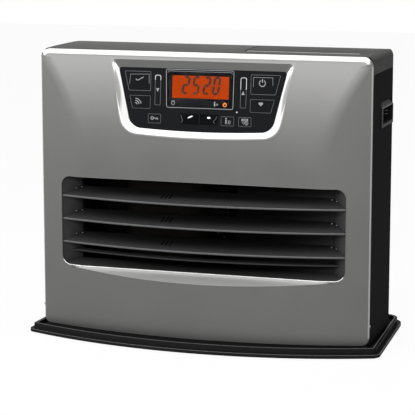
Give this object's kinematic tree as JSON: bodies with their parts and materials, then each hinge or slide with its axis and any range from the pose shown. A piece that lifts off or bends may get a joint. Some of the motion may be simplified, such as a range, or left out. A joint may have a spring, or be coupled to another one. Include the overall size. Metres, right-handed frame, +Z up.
{
  "type": "fan-forced paraffin heater",
  "caption": "Free-standing fan-forced paraffin heater with a bowed silver front, black louvres, a push-button display panel, a lift-out fuel tank under a flap and a wide drip tray.",
  "frame": {"origin": "on the floor under the middle of the tray's box", "axes": "+Z up, +X to the heater's left as it faces the room (right in a front view), the front faces -Y"},
  "size_m": [0.5512, 0.288, 0.443],
  "materials": {
    "tray_plastic": "satin black moulding",
    "foot_rubber": "matt black rubber",
    "silver_paint": "satin silver-grey metallic paint",
    "dark_paint": "satin near-black paint",
    "top_plastic": "satin dark grey moulding",
    "bright_steel": "ground steel",
    "grip_plastic": "matt black moulding",
    "fascia_plastic": "half-gloss black moulding",
    "frame_plastic": "gloss black frame",
    "display_glass": "orange backlit liquid crystal panel",
    "window_glass": "clear acrylic",
    "key_plastic": "satin black keys",
    "board_laminate": "green printed circuit laminate",
    "duct_steel": "heat-proof dark paint on sheet steel",
    "slat_paint": "dark grey paint with lighter edges",
    "chamber_steel": "heat-tinted stainless sheet",
    "igniter_ceramic": "off-white ceramic",
    "zinc_steel": "zinc-plated sheet steel",
    "fan_aluminium": "pressed aluminium",
    "motor_steel": "grey motor can",
    "strainer_plastic": "cream moulding",
    "copper_pipe": "drawn copper tube",
    "screw_steel": "dark zinc screws"
  },
  "bodies": {
    "heater": {"base_tray": "tray_plastic", "rubber_feet": "foot_rubber", "front_panel": "silver_paint", "left_side_panel": "dark_paint", "right_side_panel": "dark_paint", "top_cover": "top_plastic", "rear_panel": "dark_paint", "lid_hinge_pins": "bright_steel", "left_grip": "grip_plastic", "right_grip": "grip_plastic", "control_fascia": "fascia_plastic", "lcd_frame": "frame_plastic", "lcd_display": "display_glass", "lcd_window": "window_glass", "control_board": "board_laminate", "outlet_duct": "duct_steel", "upper_slat": "slat_paint", "middle_slat": "slat_paint", "lower_slat": "slat_paint", "bottom_vane": "slat_paint", "combustion_chamber": "chamber_steel", "burner_pot": "chamber_steel", "flame_ring": "chamber_steel", "igniter": "igniter_ceramic", "heat_shield": "zinc_steel", "fan_motor": "motor_steel", "motor_bracket": "zinc_steel", "fan_guard": "grip_plastic", "blower_housing": "zinc_steel", "blower_motor": "motor_steel", "air_box": "zinc_steel", "fuel_sump": "zinc_steel", "fuel_strainer": "strainer_plastic", "fuel_pump": "zinc_steel", "fuel_pipe": "copper_pipe", "tank_bulkhead": "zinc_steel", "mains_bush": "foot_rubber", "power_board": "board_laminate", "room_sensor": "strainer_plastic", "case_screws": "screw_steel"},
    "tank": {"fuel_tank": "zinc_steel", "tank_cap": "key_plastic", "tank_handle": "key_plastic", "tank_gauge": "window_glass"},
    "lid": {"tank_lid": "top_plastic"},
    "fan": {"convection_fan": "fan_aluminium", "fan_shaft": "bright_steel"},
    "blower": {"blower_impeller": "fan_aluminium"},
    "filter": {"air_filter": "grip_plastic"},
    "power_key": {"power_button": "key_plastic"},
    "comfort_key": {"comfort_button": "key_plastic"},
    "check_key": {"check_button": "key_plastic"},
    "timer_key": {"timer_button": "key_plastic"},
    "down_key": {"down_button": "key_plastic"},
    "up_key": {"up_button": "key_plastic"},
    "lock_key": {"lock_button": "key_plastic"},
    "left_set_key": {"left_set_button": "key_plastic"},
    "right_set_key": {"right_set_button": "key_plastic"},
    "vent_key": {"vent_button": "key_plastic"},
    "schedule_key": {"schedule_button": "key_plastic"}
  },
  "joints": [
    {"name": "tank_lift", "type": "slide", "parent": "heater", "child": "tank", "axis": [0, 0, 1], "range_m": [0, 0.0564]},
    {"name": "lid_hinge", "type": "hinge", "parent": "heater", "child": "lid", "pos_m": [0.149, 0.067, 0.4379], "axis": [-1, 0, 0], "range_deg": [0, 95]},
    {"name": "fan_spin", "type": "hinge", "parent": "heater", "child": "fan", "pos_m": [-0.074, 0.047, 0.2], "axis": [0, 1, 0], "continuous": true},
    {"name": "blower_spin", "type": "hinge", "parent": "heater", "child": "blower", "pos_m": [-0.196, -0.01, 0.06], "axis": [0, 1, 0], "continuous": true},
    {"name": "filter_slide", "type": "slide", "parent": "heater", "child": "filter", "axis": [0, 0, 1], "range_m": [0, 0.12]},
    {"name": "power_press", "type": "slide", "parent": "heater", "child": "power_key", "axis": [0, 0.9951, -0.0993], "range_m": [0, 0.001], "stiffness_N_per_m": 1500, "springref_m": -0.0005},
    {"name": "comfort_press", "type": "slide", "parent": "heater", "child": "comfort_key", "axis": [0, 0.9951, -0.0993], "range_m": [0, 0.001], "stiffness_N_per_m": 1500, "springref_m": -0.0005},
    {"name": "check_press", "type": "slide", "parent": "heater", "child": "check_key", "axis": [0, 0.9951, -0.0993], "range_m": [0, 0.001], "stiffness_N_per_m": 1500, "springref_m": -0.0005},
    {"name": "timer_press", "type": "slide", "parent": "heater", "child": "timer_key", "axis": [0, 0.9951, -0.0993], "range_m": [0, 0.001], "stiffness_N_per_m": 1500, "springref_m": -0.0005},
    {"name": "down_press", "type": "slide", "parent": "heater", "child": "down_key", "axis": [0, 0.9951, -0.0993], "range_m": [0, 0.001], "stiffness_N_per_m": 1500, "springref_m": -0.0005},
    {"name": "up_press", "type": "slide", "parent": "heater", "child": "up_key", "axis": [0, 0.9951, -0.0993], "range_m": [0, 0.001], "stiffness_N_per_m": 1500, "springref_m": -0.0005},
    {"name": "lock_press", "type": "slide", "parent": "heater", "child": "lock_key", "axis": [0, 0.9951, -0.0993], "range_m": [0, 0.001], "stiffness_N_per_m": 1500, "springref_m": -0.0005},
    {"name": "left_set_press", "type": "slide", "parent": "heater", "child": "left_set_key", "axis": [0, 0.9951, -0.0993], "range_m": [0, 0.001], "stiffness_N_per_m": 1500, "springref_m": -0.0005},
    {"name": "right_set_press", "type": "slide", "parent": "heater", "child": "right_set_key", "axis": [0, 0.9951, -0.0993], "range_m": [0, 0.001], "stiffness_N_per_m": 1500, "springref_m": -0.0005},
    {"name": "vent_press", "type": "slide", "parent": "heater", "child": "vent_key", "axis": [0, 0.9951, -0.0993], "range_m": [0, 0.001], "stiffness_N_per_m": 1500, "springref_m": -0.0005},
    {"name": "schedule_press", "type": "slide", "parent": "heater", "child": "schedule_key", "axis": [0, 0.9951, -0.0993], "range_m": [0, 0.001], "stiffness_N_per_m": 1500, "springref_m": -0.0005}
  ],
  "couplings": [
    {"joint": "lid_hinge", "follows": "tank_lift", "rad_per_m": 29.3}
  ]
}
